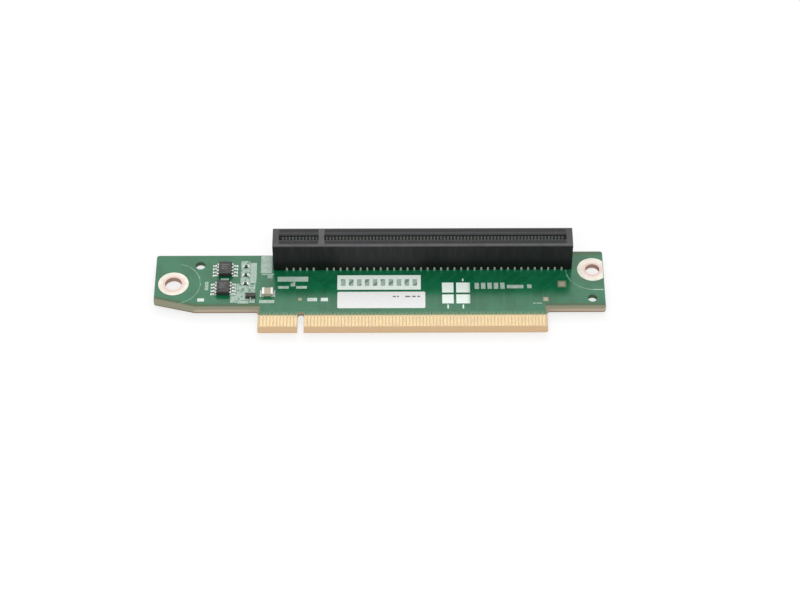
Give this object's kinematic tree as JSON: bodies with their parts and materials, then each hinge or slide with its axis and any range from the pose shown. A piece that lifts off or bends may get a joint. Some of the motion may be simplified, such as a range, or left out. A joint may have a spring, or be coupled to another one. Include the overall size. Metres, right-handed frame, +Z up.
{
  "type": "pcie riser card",
  "caption": "Long flat riser card: a green circuit board with a card-edge tongue along one side, a tall black card slot standing along the other, and small surface parts.",
  "frame": {"origin": "middle of the overall length and depth, at the level of the slot's locating peg tips, the lowest point under the board", "axes": "+X along the board's length towards the larger cut-out end, +Y from the tongue's tip towards the slot, +Z up out of the component side"},
  "size_m": [0.1336, 0.031, 0.0141],
  "materials": {
    "solder_masked_laminate": "satin",
    "gold_plating": "satin",
    "slot_plastic": "moulded, fine grain",
    "solder_and_tin": "satin",
    "chip_moulding": "matt",
    "capacitor_ceramic": "satin",
    "resistor_coating": "satin",
    "label_paper": "matt",
    "white_ink": "matt"
  },
  "bodies": {
    "root": {"circuit_board": "solder_masked_laminate", "edge_fingers_top": "gold_plating", "edge_fingers_bottom": "gold_plating", "left_hole_rings": "gold_plating", "right_hole_rings": "gold_plating", "slot_housing": "slot_plastic", "slot_contacts_front_outer": "gold_plating", "slot_contacts_front_inner": "gold_plating", "slot_contacts_rear_outer": "gold_plating", "slot_contacts_rear_inner": "gold_plating", "slot_pin_pads": "gold_plating", "slot_solder_joints": "solder_and_tin", "chip_1_body": "chip_moulding", "chip_1_leads": "solder_and_tin", "chip_2_body": "chip_moulding", "chip_2_leads": "solder_and_tin", "capacitor_body": "capacitor_ceramic", "capacitor_end_caps": "solder_and_tin", "resistor_bodies": "resistor_coating", "resistor_end_caps": "solder_and_tin", "transistor_body": "chip_moulding", "transistor_leads": "solder_and_tin", "component_pads": "gold_plating", "identity_label": "label_paper", "test_pads": "gold_plating", "silkscreen_marks": "white_ink", "silkscreen_arcs": "white_ink"}
  },
  "joints": []
}
